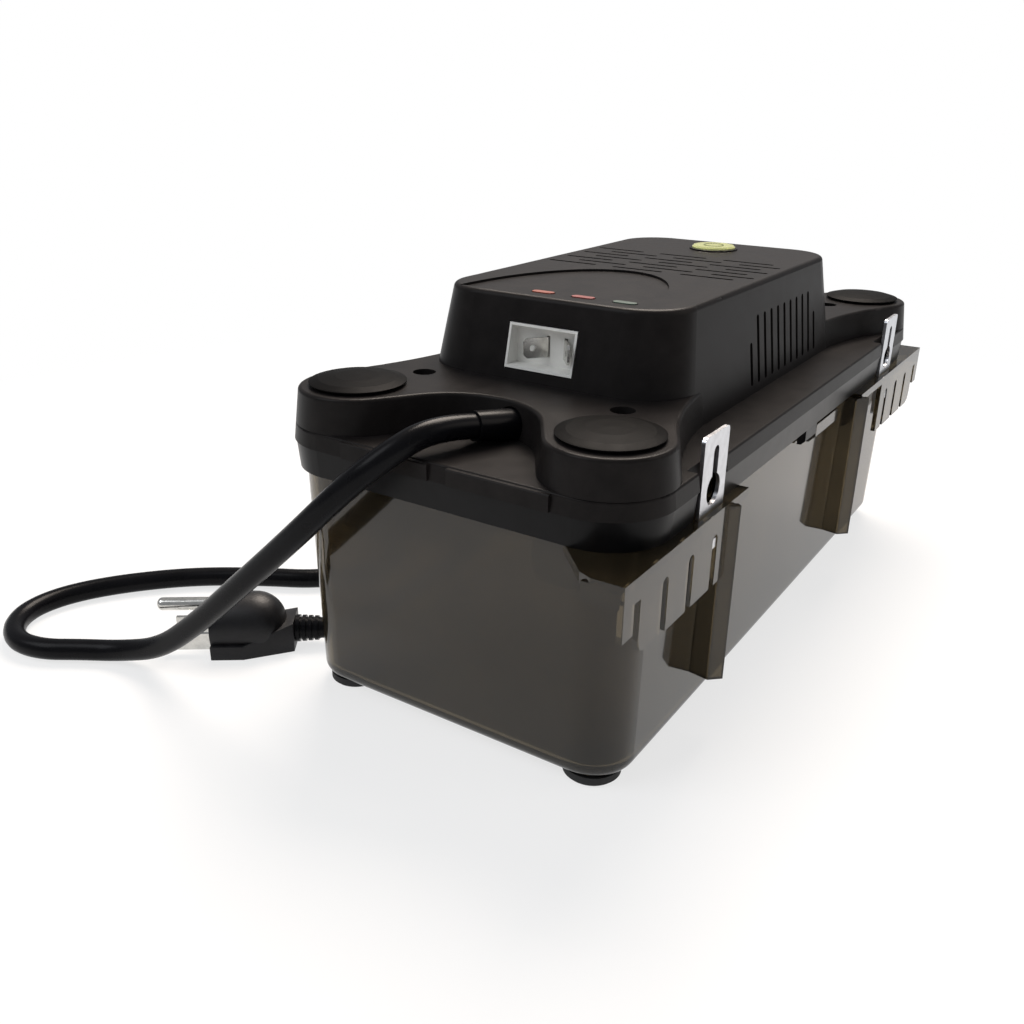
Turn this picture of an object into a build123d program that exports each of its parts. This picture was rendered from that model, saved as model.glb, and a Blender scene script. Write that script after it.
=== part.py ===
from build123d import *
from math import acos, atan, atan2, cos, degrees, pi, radians, sin, tan
import os

os.makedirs("parts", exist_ok=True)

# Condensate pump: a low tank, a lid, a one-piece cover with a tall motor hood, and the
# pump, float and wiring that they hold.  Millimetres, +Z up, X along the tank.
# The cord leaves at the -X end, the hangers are on the -Y side, and the origin is
# under the middle of the tank, on the surface that the feet stand on.

# ------------------------------------------------------------------ driving dimensions
# Fits between pieces.
seat_gap = 0.3            # round a piece that drops into a hole or over a rim
slide_gap = 0.35          # round a piece that slides
bearing_gap = 0.05        # radial, round a turning shaft

# Feet.
foot_height = 3.2
foot_radius = 9.0
foot_inset_x = 11.0       # from the tank's end to the foot's middle
foot_inset_y = 12.2
foot_plug_radius = 3.5
foot_plug_depth = 1.6

# Tank.
tank_half_length = 136.0
tank_half_width = 59.15
tank_corner = 14.0
tank_wall = 2.4
tank_floor = 2.8
tank_draft = 1.2          # degrees, each side
tank_bottom_round = 4.5
ledge_top = 79.2
ledge_thickness = 3.0
rim_above_ledge = 5.5

# Ears: a ledge at each corner of the tank with a comb-edged skirt hanging from it.
ear_past_end = 16.0       # along X, past the tank's end wall
ear_past_side = 8.35      # along Y, past the tank's long wall
ear_half_length = tank_half_length + ear_past_end
ear_half_width = tank_half_width + ear_past_side
ear_root = 12.0           # along X, from the tank's end wall inward to where the ledge starts
ear_corner_cut = 9.9      # along Y, over which the ledge's end slopes out
ear_end_reach = 26.5      # along Y, from the ear's side back to the tank's end wall
skirt_thickness = 1.8
skirt_bottom = 55.2
skirt_tooth_bottom = 63.2
skirt_end_bottom = 72.2
skirt_end_width = 12.5
comb_inset = 7.6          # from the ear's end to the middle of the nearest slot
comb_pitch = 16.55
comb_count = 4
comb_first = ear_half_length - comb_inset - (comb_count - 1) * comb_pitch
comb_slot_width = 3.6
comb_slot_top = 72.2
skirt_lead = 9.75         # from the middle of the last slot to where the skirt stops
skirt_end = comb_first - skirt_lead
short_ledge_past = 14.5   # along X, past the skirt's stop, for a short and a long ledge
long_ledge_past = 32.0

# Stand-off rails: bent fins down the long walls.
rail_thickness = 2.4
rail_reach = 11.25        # from the tank's wall to the fin's edge, and to its bend
rail_bend_out = 6.75
rail_bend_back = 1.4
rail_tip_forward = 3.1
rail_bottom = 18.2
rail_near_back = 11.25    # along X, from a hanger slot's middle to the rail beside it
rail_far_back = 40.75
rail_near_x = rail_near_back - comb_first
rail_far_x = comb_first - rail_far_back

# Lid: the band that closes the tank.
band_height = 9.0
band_draft_run = 0.8      # how much the band narrows toward its lower edge
band_step = 0.45          # band's edge inside the cover's edge
lid_plate = 2.5
clip_width = 12.0
clip_depth = 3.0
clip_drop = 5.5
catch_width = 26.0
catch_height = 7.0

# Cover: bosses, deck and hood.
boss_inset_x = 16.0       # from the tank's end and side to a boss's middle
boss_inset_y = 14.35
boss_x = tank_half_length - boss_inset_x
boss_y = tank_half_width - boss_inset_y
boss_radius_top = 18.5
boss_radius_seam = 20.6
skirt_layer = 5.4         # height of the plain layer under the deck
deck_height = 11.1        # deck surface above that layer
recess_radius = boss_y - boss_radius_top
recess_inset = 29.0       # from the tank's end to the end recess's deepest point
recess_depth_x = tank_half_length - recess_inset
side_sweep_angle = 28.2   # degrees, where a boss runs into the hood's flank
side_sweep_radius = 125.4
cover_wall = 2.4
hood_x_low = -82.0        # hood's top face
hood_x_high = 71.0
hood_half_width = 43.3
hood_corner = 17.0
hood_corner_foot = 20.0
hood_height = 26.0        # above the deck
hood_end_lean = 0.235     # run over rise
hood_side_lean = 0.133
hood_edge_round = 1.8
deck_edge_round = 1.2
skirt_edge_round = 0.8
end_tab_proud = 0.7

# Inlets and their caps.
inlet_radius = 13.6
inlet_wall = 2.0
cap_radius = 15.3
cap_rim_gap = 0.6
cap_rim = 0.8
cap_dome = 1.5
cap_plug_length = 9.0
cap_plug_wall = 1.4
cap_travel = 12.0

# Hanger plates.
hanger_x = comb_first
hanger_width = 17.4
hanger_thickness = 1.2
hanger_top = 103.2
hanger_bottom = 62.0
hanger_corner = 1.6
keyhole_radius = 4.7
keyhole_z = 86.0
keyhole_slot_radius = 1.8
keyhole_slot_top = 99.2
stop_tab_width = 3.0
stop_tab_height = 4.0
hanger_pocket_depth = 3.2

# Cover openings.
window_y = -0.8
window_z = 115.25
window_width = 24.8
window_height = 13.9
side_vent_count = 11
side_vent_first_x = -21.5
side_vent_pitch = 6.7
side_vent_width = 2.2
side_vent_low = 96.5
side_vent_high = 120.0
side_vent_high_end = 111.5
top_vent_rows = 7
top_vent_first_x = -15.5
top_vent_pitch = 6.6
top_vent_length = 20.0
top_vent_width = 1.8
top_vent_step_y = 27.0
top_vent_middle_y = 2.0
top_vent_stagger = 9.0
top_vent_limit_y = 40.0
cover_screw_radius = 2.6
screw_post_wall = 2.0     # plastic left round a cover screw
screw_sink = 4.0          # how deep a cover screw's head sits
screw_head_step = 0.9     # head's radius over the hole's
screw_thread_step = 0.6   # thread's radius under the hole's
cover_screw_end = 5.0     # thread's end below the lid's plate
cover_screw_inset_x = 23.0        # from a boss's middle
cover_screw_inset_y = 8.3
cover_screw_x = boss_x - cover_screw_inset_x
cover_screw_y = boss_y - cover_screw_inset_y

# Status lights and the panel round them.
panel_depth = 0.8
panel_length = 62.0
panel_half_width = 33.0
panel_y = 2.0
light_length = 8.0
light_width = 3.0
light_x = -70.5
light_pitch = 14.8
light_count = 3
light_shift = -7.0        # middle light's Y

# Bubble level.
level_x = 50.0
level_radius = 8.75
level_height = 6.0
level_proud = 1.6
level_wall = 1.1
bubble_radius = 2.4

# Terminal block.
block_wall = 0.8
block_recess = 4.8
block_back = 5.0
block_flange = 2.2
tab_width = 6.35
tab_thickness = 0.8
tab_length = 8.0
tab_splay = 38.0
tab_spacing = 6.6
tab_slot_gap = 0.3
tab_hole_from_tip = 3.0

# Motor and pump, all on one vertical axis.
motor_x = 12.0
stack_length = 60.0
stack_width = 52.0
stack_height = 20.0
stack_lift = 11.8         # stack's underside above the lid
rotor_radius = 12.5
air_gap = 0.5
shaft_radius = 2.5
shaft_rise = 6.5          # above the stack
winding_room = 7.0        # window for the coil, along X
winding_edge = 8.0        # stack's end to that window
winding_low_y = 9.0       # window's near and far sides
winding_high_y = 17.0
winding_overhang = 4.0
stack_inset = 4.0         # corner of the stack to its screw
bridge_half = 8.0         # half width of a bearing bridge's strap
bracket_thickness = 2.6
post_radius = 4.0
motor_screw_radius = 1.6
motor_screw_hole = 1.8
motor_screw_head = 3.0
bearing_radius = 6.5
fan_radius = 21.0
fan_height = 4.5
fan_blades = 8
volute_radius = 25.0
volute_bottom = 11.0
volute_height = 17.0
volute_wall = 2.4
column_radius = 9.0
column_wall = 2.0
impeller_radius = 17.0
impeller_vanes = 6
impeller_height = 8.0
impeller_plate = 1.4
column_holes = 6
column_hole_radius = 2.4
outlet_wall = 3.0
outlet_depth = 7.0        # how far the riser stands in the pump's outlet
strainer_slots = 10
strainer_slot_width = 2.8
strainer_clear = 0.6      # strainer's foot above the tank's floor
intake_radius = 8.0
pipe_radius = 4.0
pipe_wall = 1.0
riser_offset = 36.0       # from the pump's axis to the riser
valve_radius = 5.6
valve_length = 16.0
barb_radius = 5.0
barb_length = 20.0
barb_bore = 3.0
barb_step = 0.8
barb_count = 3
barb_pitch = 5.5
barb_land = 1.5
valve_seat = 1.5
valve_ball_radius = 3.6
valve_ball_travel = 2.0

# Float and its switch.
float_hinge_x = -32.0
float_hinge_z = 76.0
float_y = -16.0
float_arm_length = 50.0
float_arm_radius = 1.5
float_arm_drop = 35.0     # degrees below level at rest
float_travel = 24.0       # degrees
float_radius = 13.0
float_cheek_gap = 4.0     # from the arm's middle to a cheek
float_cheek = 2.0
float_grip = 14.0         # length of arm inside the float
float_width = 30.0
pad_reach = 8.0
pad_radius = 2.0
pin_radius = 1.5
pushrod_radius = 1.6
pushrod_foot_radius = 3.0
leaf_reach = 12.0
leaf_length = 15.0
leaf_thickness = 0.5
leaf_width = 4.0
leaf_pin_radius = 0.5
leaf_knuckle_radius = 1.1
leaf_height = 10.4        # leaf's pivot above the lid
leaf_drop = 1.6           # from the switch's underside to the pivot
switch_length = 20.0
switch_width = 6.4
switch_height = 10.0

# Circuit board.
board_x_low = -66.0
board_x_high = -22.0
board_half_width = 33.0
board_thickness = 1.6
board_edge = 5.0          # from the board's end to its relay
relay_length = 15.0
relay_width = 16.0
relay_height = 10.0
relay_y = 8.0
supply_length = 13.0
supply_width = 12.0
supply_height = 7.0
supply_y = 14.0
capacitor_radius = 4.0
capacitor_height = 9.0
capacitor_y = 26.0
capacitor_inset = 12.0
board_z = 112.0
board_inset = 5.0         # board's edge to its posts
board_post_radius = 2.5

# Cord, gland and plug.
cord_radius = 3.85
gland_length = 15.0
gland_offset = 5.5        # along Y, from the middle to where the cord leaves
gland_rise = 3.6          # above the recess's shelf
gland_radius_root = 5.4
gland_radius_tip = 4.5
plug_length = 29.0
plug_width = 22.5
plug_height = 20.5
plug_base_width = 24.2
plug_base_height = 5.4
plug_tail_width = 13.0
plug_tail_height = 13.5
plug_axis_height = 6.2
plug_inset = 13.5         # along X, from the ear's end to the plug's face
plug_aside = 36.0         # along Y, from the ear's side to the plug's face
plug_blade_height = 5.0
plug_blade_spacing = 12.7
plug_pin_rise = 11.9
blade_width = 6.35
blade_thickness = 1.5
blade_length = 16.0
blade_hole_radius = 1.6
ground_pin_radius = 2.4
ground_pin_length = 20.0
relief_length = 9.0
relief_radius = 5.0
coil_mean_radius = 42.35
coil_turns_across = 3
coil_layers = 2
relief_ribs = 4
blade_hole_at = 11.9      # from the plug's face
gland_inside = 9.0        # length of gland inside the cover
gland_flange = 2.0

# ------------------------------------------------------------------ derived places
tank_rim = ledge_top + rim_above_ledge
draft_run = tan(radians(tank_draft))
seam_z = ledge_top + band_height
plate_under = seam_z - lid_plate
shelf_z = seam_z + skirt_layer
deck_z = shelf_z + deck_height
hood_top = deck_z + hood_height
seam_half_length = boss_x + boss_radius_seam
seam_half_width = boss_y + boss_radius_seam
cover_draft = degrees(atan((boss_radius_seam - boss_radius_top) / (deck_z - seam_z)))


def tank_grow(z):
    """How far the tank's walls have leaned out at height z."""
    return (z - foot_height) * draft_run


def hood_end_x(z, sign):
    """X of the hood's end face at height z."""
    top = hood_x_high if sign > 0 else hood_x_low
    return top + sign * hood_end_lean * (hood_top - z)


def hood_side_y(z):
    """Distance of the hood's long face from the middle at height z."""
    return hood_half_width + hood_side_lean * (hood_top - z)


def corners():
    """The four sign pairs of the object's corners."""
    return [(sx, sy) for sx in (-1, 1) for sy in (-1, 1)]


def block(x0, x1, y0, y1, z0, z1):
    """Box between two opposite corners."""
    size = (x1 - x0, y1 - y0, z1 - z0)
    return Pos((x0 + x1) / 2, (y0 + y1) / 2, (z0 + z1) / 2) * Box(*size)


def rod(radius, start, end):
    """Round bar from one point to another."""
    line = Vector(*end) - Vector(*start)
    plane = Plane(origin=Vector(*start), z_dir=line)
    return extrude(plane * Circle(radius), line.length)


def tube(outer, inner, start, end):
    """Round pipe from one point to another."""
    return rod(outer, start, end) - rod(inner, start, end)


def turned(points, x=0.0, y=0.0):
    """Solid of revolution about the vertical line through (x, y), from (radius, z) points."""
    face = make_face(Plane.XZ * Polyline(*points, close=True))
    return Pos(x, y, 0) * revolve(face, Axis.Z)


def half_turned(solid):
    """The same piece turned half round the vertical axis."""
    return Rot(0, 0, 180) * solid


def save(name, shape):
    """Write one sub-part."""
    solids = shape.solids() if hasattr(shape, "solids") else ShapeList(shape)
    out = solids[0] if len(solids) == 1 else Compound(children=list(solids))
    out.label = name
    export_step(out, f"parts/{name}.step")
    print(f"{name:22s} solids {len(solids):2d}  volume {sum(s.volume for s in solids):10.1f}")


# ------------------------------------------------------------------ tank
def ear(ledge_end, sign_x):
    """Ledge and comb skirt at the -Y corner on the given end, ledge stopping at ledge_end."""
    end, side = ear_half_length, ear_half_width
    plan = Polyline(
        (tank_half_length - ear_root, -side + ear_end_reach),
        (tank_half_length + 1, -side + ear_end_reach),
        (end - 1.7, -side + ear_end_reach - 1.28 * ear_corner_cut),
        (end, -side + ear_corner_cut),
        (end, -side),
        (ledge_end, -side),
        (ledge_end, -tank_half_width + 1),
        (tank_half_length - ear_root, -tank_half_width + 1),
        close=True,
    )
    ledge = Pos(0, 0, ledge_top - ledge_thickness) * extrude(make_face(plan), ledge_thickness)

    top = ledge_top - ledge_thickness / 2
    first_slot = comb_first + (comb_count - 1) * comb_pitch
    tooth_edge = first_slot - comb_slot_width / 2
    edge = Polyline(
        (skirt_end, top),
        (skirt_end, skirt_bottom),
        (tooth_edge - 4.5, skirt_bottom),
        (tooth_edge - 1.2, skirt_bottom + 1.4),
        (tooth_edge, skirt_bottom + 4.8),
        (tooth_edge, comb_slot_top),
        (first_slot + comb_slot_width / 2, comb_slot_top),
        (first_slot + comb_slot_width / 2, skirt_tooth_bottom),
        (end, skirt_tooth_bottom),
        (end, top),
        close=True,
    )
    at_side = Plane(origin=(0, -side + skirt_thickness, 0), x_dir=(1, 0, 0), z_dir=(0, -1, 0))
    skirt = extrude(at_side * make_face(edge), skirt_thickness)
    for number in range(comb_count):
        x = comb_first + number * comb_pitch
        slot_r = comb_slot_width / 2
        crown = comb_slot_top - slot_r
        gap = block(x - slot_r, x + slot_r, -side - 1, -side + skirt_thickness + 1, skirt_bottom - 1, crown)
        skirt -= gap + rod(slot_r, (x, -side - 1, crown), (x, -side + skirt_thickness + 1, crown))
    return_wall = block(end - skirt_thickness, end, -side, -side + skirt_end_width, skirt_end_bottom, top)
    whole = ledge + skirt + return_wall

    slot = block(
        hanger_x - hanger_width / 2 - slide_gap,
        hanger_x + hanger_width / 2 + slide_gap,
        hanger_outer_y - slide_gap,
        hanger_outer_y + hanger_thickness + slide_gap,
        ledge_top - 2 * ledge_thickness,
        ledge_top + 1,
    )
    whole -= slot
    return whole if sign_x > 0 else mirror(whole, Plane.YZ)


# Outer face of a hanger plate, just inside the ear's skirt.
hanger_outer_y = -ear_half_width + skirt_thickness + slide_gap


def rail(x):
    """Bent stand-off fin on the -Y wall whose root is at x."""
    path = Polyline(
        (x, -tank_half_width + 1.0),
        (x - rail_bend_back, -tank_half_width - rail_bend_out),
        (x - rail_bend_back + rail_tip_forward, -tank_half_width - rail_reach + rail_thickness / 2),
    )
    plan = trace(path, rail_thickness)
    return Pos(0, 0, rail_bottom) * extrude(plan, ledge_top - ledge_thickness / 2 - rail_bottom)


def tank():
    """Translucent tank in one moulding with its ears, rails and snap catches."""
    height = tank_rim - foot_height
    plan = RectangleRounded(2 * tank_half_length, 2 * tank_half_width, tank_corner)
    body = Pos(0, 0, foot_height) * extrude(plan, height, taper=-tank_draft)
    body = fillet(body.edges().group_by(Axis.Z)[0], tank_bottom_round)

    side = ear(skirt_end - short_ledge_past, -1) + ear(skirt_end - long_ledge_past, 1)
    side += rail(rail_near_x) + rail(rail_far_x)
    catch_y = tank_half_width + tank_grow(ledge_top)
    catch = block(
        clip_width / 2 + 2,
        clip_width / 2 + 2 + catch_width,
        -catch_y - clip_depth,
        -catch_y + 1,
        ledge_top - 1.5 - catch_height,
        ledge_top - 1.5,
    )
    catch = chamfer(catch.edges().group_by(Axis.Z)[0].group_by(Axis.Y)[0], clip_depth - 0.6)
    body = body + side + catch + half_turned(catch)

    inside_plan = RectangleRounded(
        2 * (tank_half_length - tank_wall), 2 * (tank_half_width - tank_wall), tank_corner - tank_wall
    )
    inside = extrude(inside_plan, height - tank_floor + 1, taper=-tank_draft)
    inside = fillet(inside.edges().group_by(Axis.Z)[0], tank_bottom_round - 1.5)
    body -= Pos(0, 0, foot_height + tank_floor) * inside
    for sx, sy in corners():
        x, y = foot_place(sx, sy)
        body -= rod(foot_plug_radius + seat_gap / 3, (x, y, 0), (x, y, foot_height + foot_plug_depth))
    return body


def foot_place(sx, sy):
    """Middle of one foot."""
    return sx * (tank_half_length - foot_inset_x), sy * (tank_half_width - foot_inset_y)


def feet():
    """Four rubber discs, each with a stub pressed into the tank's floor."""
    group = []
    edge = 0.8
    for sx, sy in corners():
        x, y = foot_place(sx, sy)
        stub_top = foot_height + foot_plug_depth - seat_gap / 3
        group.append(turned([
            (0, 0), (foot_radius - edge, 0), (foot_radius, edge), (foot_radius, foot_height),
            (foot_plug_radius, foot_height), (foot_plug_radius, stub_top), (0, stub_top),
        ], x, y))
    return group


# ------------------------------------------------------------------ lid
lid_inner_half_length = tank_half_length + tank_grow(tank_rim) + seat_gap
lid_inner_half_width = tank_half_width + tank_grow(tank_rim) + seat_gap
lid_inner_corner = tank_corner + tank_grow(tank_rim) + seat_gap
riser_x = motor_x + riser_offset
pushrod_x = float_hinge_x - pad_reach * cos(radians(float_travel / 2))
stack_base = seam_z + stack_lift


def hanger_pocket(sx, z0, z1):
    """Space behind one hanger plate for the head of the wall screw."""
    inner = hanger_outer_y + hanger_thickness + hanger_pocket_depth
    half = hanger_width / 2 + 1.2
    return block(sx * hanger_x - half, sx * hanger_x + half, -seam_half_width - 5, inner, z0, z1)


def stack_corners():
    """Four screw places, a little inside the corners of the motor's stack."""
    dx = stack_length / 2 - stack_inset
    dy = stack_width / 2 - stack_inset
    return [(motor_x + sx * dx, sy * dy) for sx, sy in corners()]


def lid_inside():
    """Plan of the plate inside the lid's band."""
    return RectangleRounded(2 * lid_inner_half_length, 2 * lid_inner_half_width, lid_inner_corner)


def lid_band():
    """Black band round the tank's rim, open behind each hanger plate, with its two clips."""
    low = RectangleRounded(
        2 * (seam_half_length - band_step - band_draft_run),
        2 * (seam_half_width - band_step - band_draft_run),
        boss_radius_seam - band_step - band_draft_run,
    )
    lean = degrees(atan(band_draft_run / band_height))
    body = Pos(0, 0, ledge_top) * extrude(low, band_height, taper=-lean)
    body -= Pos(0, 0, ledge_top - 1) * extrude(lid_inside(), band_height + 2)
    for sx in (-1, 1):
        body -= hanger_pocket(sx, ledge_top - 1, seam_z + 1)
    clip = block(
        -clip_width / 2, clip_width / 2,
        -lid_inner_half_width - clip_depth, -lid_inner_half_width,
        ledge_top - clip_drop, ledge_top + 1,
    )
    clip = chamfer(clip.edges().group_by(Axis.Z)[0].group_by(Axis.Y)[0], clip_depth / 2)
    return body + clip + half_turned(clip)


def lid():
    """Plate inside the band, which carries the motor, pump, float and switch."""
    body = Pos(0, 0, plate_under) * extrude(lid_inside(), lid_plate)
    post_end = plate_under - cover_screw_end - 2.0
    thread = cover_screw_radius - screw_thread_step
    for sx, sy in corners():
        x, y = sx * boss_x, sy * boss_y
        body -= rod(inlet_radius, (x, y, plate_under - 1), (x, y, seam_z + 1))
        x, y = sx * cover_screw_x, sy * cover_screw_y
        body += rod(cover_screw_radius + 2.4, (x, y, post_end), (x, y, plate_under))
        body -= rod(thread, (x, y, post_end + 1.0), (x, y, seam_z + 1))
    for x, y in stack_corners():
        top = stack_base - (bracket_thickness if x < motor_x else 0)
        body += rod(post_radius, (x, y, seam_z), (x, y, top))
        body -= rod(motor_screw_radius, (x, y, seam_z - 1), (x, y, top + 1))
    for x in (board_x_low + board_inset, board_x_high - board_inset):
        for sy in (-1, 1):
            y = sy * (board_half_width - board_inset)
            body += rod(board_post_radius, (x, y, seam_z), (x, y, board_z))
    body += switch_wall()
    holes = (
        (shaft_radius + 2, motor_x, 0),
        (pipe_radius + seat_gap, riser_x, 0),
        (pushrod_radius + bearing_gap, pushrod_x, float_y),
    )
    for radius, x, y in holes:
        body -= rod(radius, (x, y, plate_under - 1), (x, y, seam_z + 1))
    return body


# ------------------------------------------------------------------ cover
def deck_end(scale_out):
    """Plan of the deck at the -X end, all its edges moved outward by scale_out."""
    boss_r = boss_radius_top + scale_out
    end_r = recess_radius - scale_out
    boss = Vector(-boss_x, -boss_y)
    end_centre = Vector(-(recess_depth_x + recess_radius), 0)
    gap = end_centre - boss
    tilt = degrees(acos((boss_r + end_r) / gap.length))
    bearing = degrees(atan2(gap.Y, gap.X)) + tilt
    toward = Vector(cos(radians(bearing)), sin(radians(bearing)))
    on_boss = boss + toward * boss_r
    on_recess = end_centre - toward * end_r
    sweep = radians(side_sweep_angle)
    leave = boss + Vector(sin(sweep), -cos(sweep)) * boss_r
    sweep_r = side_sweep_radius - scale_out
    sweep_centre = leave + Vector(sin(sweep), -cos(sweep)) * sweep_r
    stop = sweep_centre + Vector(0, sweep_r)
    halfway = sweep_centre - Vector(sin(sweep / 2), -cos(sweep / 2)) * sweep_r
    boss_far = boss - Vector(boss_r, 0)
    recess_deep = end_centre + Vector(end_r, 0)

    def up(point):
        return Vector(point.X, -point.Y)

    outline = [
        ThreePointArc(stop, halfway, leave),
        ThreePointArc(leave, boss_far, on_boss),
        Line(on_boss, on_recess),
        ThreePointArc(on_recess, recess_deep, up(on_recess)),
        Line(up(on_recess), up(on_boss)),
        ThreePointArc(up(on_boss), boss_far - Vector(0, 2 * boss.Y), up(leave)),
        ThreePointArc(up(leave), up(halfway), up(stop)),
        Line(up(stop), stop),
    ]
    face = make_face(Wire(outline)).faces()[0]
    return face if face.normal_at().Z > 0 else -face


def deck_ends(low_outward, high_outward, z_low, z_high, edge_round=0.0):
    """Both ends of the deck between two heights, with the outline moved outward at each."""
    low = Pos(0, 0, z_low) * deck_end(low_outward)
    high = Pos(0, 0, z_high) * deck_end(high_outward)
    one = loft([low, high], ruled=True)
    if edge_round > 0:
        outer = one.edges().group_by(Axis.Z)[-1].filter_by(lambda edge: edge.center().X < hood_x_low + 22)
        one = fillet(outer, edge_round)
    return one + mirror(one, Plane.YZ)


def hood_body(inset, z_low, z_high):
    """Tapered hood between two heights, with its walls moved inward by inset."""
    rings = []
    for z in (z_low, z_high):
        x0 = hood_end_x(z, -1) + inset
        x1 = hood_end_x(z, 1) - inset
        share = (hood_top - z) / (hood_top - seam_z)
        corner = hood_corner + (hood_corner_foot - hood_corner) * share - inset * 0.8
        plan = RectangleRounded(x1 - x0, 2 * (hood_side_y(z) - inset), corner)
        rings.append(Pos((x0 + x1) / 2, 0, z) * plan)
    return loft(rings, ruled=True)


def top_vents():
    """Staggered rows of short slots in the hood's top."""
    cuts = []
    for row in range(top_vent_rows):
        x = top_vent_first_x + row * top_vent_pitch
        shift = top_vent_stagger if row % 2 else 0.0
        for place in (-1, 0, 1):
            middle = top_vent_middle_y + place * top_vent_step_y - shift
            low = max(middle - top_vent_length / 2, -top_vent_limit_y)
            high = min(middle + top_vent_length / 2, top_vent_limit_y)
            slot = Rot(0, 0, 90) * SlotOverall(high - low, top_vent_width)
            cuts.append(Pos(x, (low + high) / 2, hood_top) * extrude(slot, cover_wall * 2, both=True))
    return cuts


def side_vents():
    """Tall slots through both of the hood's long faces."""
    cuts = []
    for number in range(side_vent_count):
        x = side_vent_first_x + number * side_vent_pitch
        last = number in (0, side_vent_count - 1)
        top = side_vent_high_end if last else side_vent_high
        height = top - side_vent_low
        middle = (top + side_vent_low) / 2
        upright = Plane(origin=(x, 0, middle), x_dir=(0, 0, 1), z_dir=(0, 1, 0))
        slot = upright * SlotOverall(height, side_vent_width)
        cuts.append(extrude(slot, 2 * seam_half_width, both=True))
    return cuts


def window_cut(clearance, x0, x1):
    """Straight hole through the hood's -X end for the terminal block."""
    half_y = window_width / 2 + clearance
    half_z = window_height / 2 + clearance
    return block(x0, x1, window_y - half_y, window_y + half_y, window_z - half_z, window_z + half_z)


def panel_recess():
    """Shallow tongue-shaped recess in the hood's top, open at the -X end."""
    tongue = Pos(hood_x_low, panel_y) * Ellipse(panel_length, panel_half_width)
    area = Pos(0, 0, hood_top - panel_depth) * extrude(tongue, panel_depth + 1)
    return area & block(hood_x_low + 3.0, 0, -seam_half_width, seam_half_width, 0, hood_top + 2)


def light_place(number):
    """Middle of one status light."""
    return light_x, (1 - number) * light_pitch + light_shift


def light_solid(number, clearance, z0, z1):
    """Rounded lens of one status light between two heights."""
    x, y = light_place(number)
    shape = Rot(0, 0, 90) * SlotOverall(light_length + 2 * clearance, light_width + 2 * clearance)
    return Pos(x, y, z0) * extrude(shape, z1 - z0)


def cover():
    """One moulding: plain layer, deck with four bosses, and the vented motor hood."""
    layer_plan = RectangleRounded(2 * seam_half_length, 2 * seam_half_width, boss_radius_seam)
    body = Pos(0, 0, seam_z) * extrude(layer_plan, skirt_layer, taper=cover_draft)
    body = fillet(body.edges().group_by(Axis.Z)[-1], skirt_edge_round)
    spread = deck_height * tan(radians(cover_draft))
    body += deck_ends(spread, 0, shelf_z, deck_z, deck_edge_round)
    hood = hood_body(0, seam_z, hood_top)
    hood = fillet(hood.faces().sort_by(Axis.Z)[-1].edges(), hood_edge_round)
    body += hood

    layer_room = RectangleRounded(2 * seam_half_length - 16, 2 * seam_half_width - 15, boss_radius_seam - 7)
    body -= Pos(0, 0, seam_z - 1) * extrude(layer_room, skirt_layer - cover_wall + 1)
    body -= deck_ends(spread - cover_wall, spread - cover_wall, seam_z - 1, shelf_z + 1)
    body -= deck_ends(spread - cover_wall, -cover_wall, shelf_z, deck_z - cover_wall)
    body -= hood_body(cover_wall, seam_z - 1, hood_top - cover_wall)

    under_deck = deck_z - cover_wall / 2
    for sx in (-1, 1):
        body -= hanger_pocket(sx, seam_z - 1, shelf_z + 1)
    for sx, sy in corners():
        x, y = sx * boss_x, sy * boss_y
        body += tube(inlet_radius + inlet_wall, inlet_radius, (x, y, seam_z), (x, y, under_deck))
        body -= rod(inlet_radius, (x, y, seam_z - 1), (x, y, deck_z + 1))
        x, y = sx * cover_screw_x, sy * cover_screw_y
        body += rod(cover_screw_radius + screw_post_wall, (x, y, seam_z), (x, y, under_deck))
        body -= rod(cover_screw_radius, (x, y, seam_z - 1), (x, y, deck_z + 1))
        sink = cover_screw_radius + screw_head_step + seat_gap
        body -= rod(sink, (x, y, deck_z - screw_sink), (x, y, deck_z + 1))

    for low_y, high_y in end_tab_spans:
        for sign in (-1, 1):
            x0, x1 = sorted((sign * (seam_half_length - 3.0), sign * (seam_half_length + end_tab_proud)))
            y0, y1 = sorted((-sign * low_y, -sign * high_y))
            tab = block(x0, x1, y0, y1, seam_z, shelf_z - 0.4)
            body += chamfer(tab.edges().filter_by(Axis.Y).group_by(Axis.Z)[-1], end_tab_proud / 2)

    cuts = top_vents() + side_vents() + [window_cut(seat_gap, hood_x_low - 15, hood_x_low + 6)]
    cuts.append(panel_recess())
    for number in range(light_count):
        cuts.append(light_solid(number, seat_gap, hood_top - 2 * cover_wall, hood_top + 1))
    inside = hood_top - cover_wall
    valve_wall = recess_depth_x - 12
    cuts.append(rod(level_radius + seat_gap, (level_x, 0, inside - 1), (level_x, 0, hood_top + 1)))
    cuts.append(rod(valve_radius + seat_gap, (valve_wall, 0, valve_z), (recess_depth_x + 12, 0, valve_z)))
    cuts.append(rod(pipe_radius + seat_gap, (hood_x_high - 20, 0, valve_z), (recess_depth_x, 0, valve_z)))
    cuts.append(rod(gland_radius_root + seat_gap / 3, gland_root - gland_dir * 12, gland_tip + gland_dir))
    for cut in cuts:
        body -= cut
    return body


# Raised tabs on the end faces, as spans across the cover.
end_tab_spans = ((-38.6, -5.1), (1.5, 34.0))

# Discharge fitting: its line lies just over the recess's floor.
valve_start = recess_depth_x - 6.0
valve_chamber_start = recess_depth_x
valve_z = shelf_z + valve_radius + seat_gap

# Cord exit: a point on the recess's wall and the way the cord leaves.
gland_root = Vector(-recess_depth_x, -gland_offset, shelf_z + gland_rise)
gland_dir = Vector(-16.0, 6.0, 2.5).normalized()
gland_tip = gland_root + gland_dir * gland_length


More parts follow.
